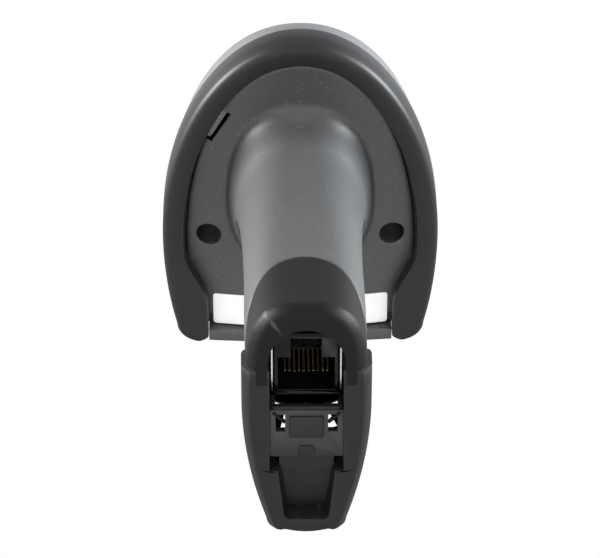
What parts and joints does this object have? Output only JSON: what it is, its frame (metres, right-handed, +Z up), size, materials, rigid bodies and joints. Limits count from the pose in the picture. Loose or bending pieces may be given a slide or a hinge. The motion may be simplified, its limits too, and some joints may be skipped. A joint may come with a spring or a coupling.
{
  "type": "handheld barcode scanner",
  "caption": "Pistol-grip 2-D imager: wide head with rubber bumper, leaning handle, trigger, flat foot with modular jack and beak.",
  "frame": {"origin": "on the surface the foot stands on, under the middle of the whole object", "axes": "+Z up, the nose and window face -Y, +X to the right when looking along +Y"},
  "size_m": [0.067, 0.0968, 0.1644],
  "materials": {
    "housing_dark": "fine spark-eroded texture, dark grey",
    "cover_grey": "satin painted light grey",
    "rubber_black": "soft-touch overmould",
    "cap_dark": "coarse spark-eroded texture",
    "gloss_black": "polished black",
    "window": "dark red tinted acrylic",
    "clear_plastic": "clear polycarbonate",
    "steel": "zinc plated",
    "brass": "turned and knurled",
    "gold": "gold plated",
    "board_green": "solder mask over glass epoxy",
    "chip_black": "moulded epoxy",
    "led_white": "phosphor over ceramic",
    "label_white": "satin label stock, blank",
    "light_pipe": "frosted polycarbonate",
    "flex_amber": "polyimide film"
  },
  "bodies": {
    "housing": {"lower_housing": "housing_dark", "top_cover": "cover_grey", "bumper": "rubber_black", "end_cap": "cap_dark", "handle_front": "housing_dark", "front_bezel": "housing_dark", "latch_bracket": "gloss_black", "jack_housing": "gloss_black", "jack_contacts": "gold", "jack_shield": "steel", "scan_window": "window", "window_gasket": "rubber_black", "housing_seal": "rubber_black", "status_light_pipe": "light_pipe", "status_led": "led_white", "main_board": "board_green", "board_screws": "steel", "processor_chip": "chip_black", "memory_chip": "chip_black", "board_connector": "chip_black", "beeper": "chip_black", "head_screws": "steel", "screw_inserts": "brass", "imager_chassis": "chip_black", "camera_board": "board_green", "chassis_screws": "steel", "image_sensor": "chip_black", "lens_barrel": "chip_black", "lens_front": "clear_plastic", "aimer_lens": "clear_plastic", "aimer_led": "led_white", "illumination_lenses": "clear_plastic", "illumination_leds": "led_white", "trigger_pin": "steel", "trigger_switch": "chip_black", "switch_board": "board_green", "interface_board": "board_green", "interface_connector": "chip_black", "flex_cable": "flex_amber", "rating_label": "label_white"},
    "trigger": {"trigger": "rubber_black", "trigger_spring": "steel"},
    "switch_plunger": {"switch_plunger": "chip_black"}
  },
  "joints": [
    {"name": "trigger_pull", "type": "hinge", "parent": "housing", "child": "trigger", "pos_m": [0, -0.01425, 0.102], "axis": [1, 0, 0], "range_deg": [0, 3.5], "stiffness_Nm_per_rad": 0.5, "springref_deg": -3.44},
    {"name": "plunger_slide", "type": "slide", "parent": "housing", "child": "switch_plunger", "axis": [0, 1, 0], "range_m": [0, 0.00115]}
  ],
  "couplings": [
    {"joint": "plunger_slide", "follows": "trigger_pull", "m_per_rad": 0.018}
  ]
}
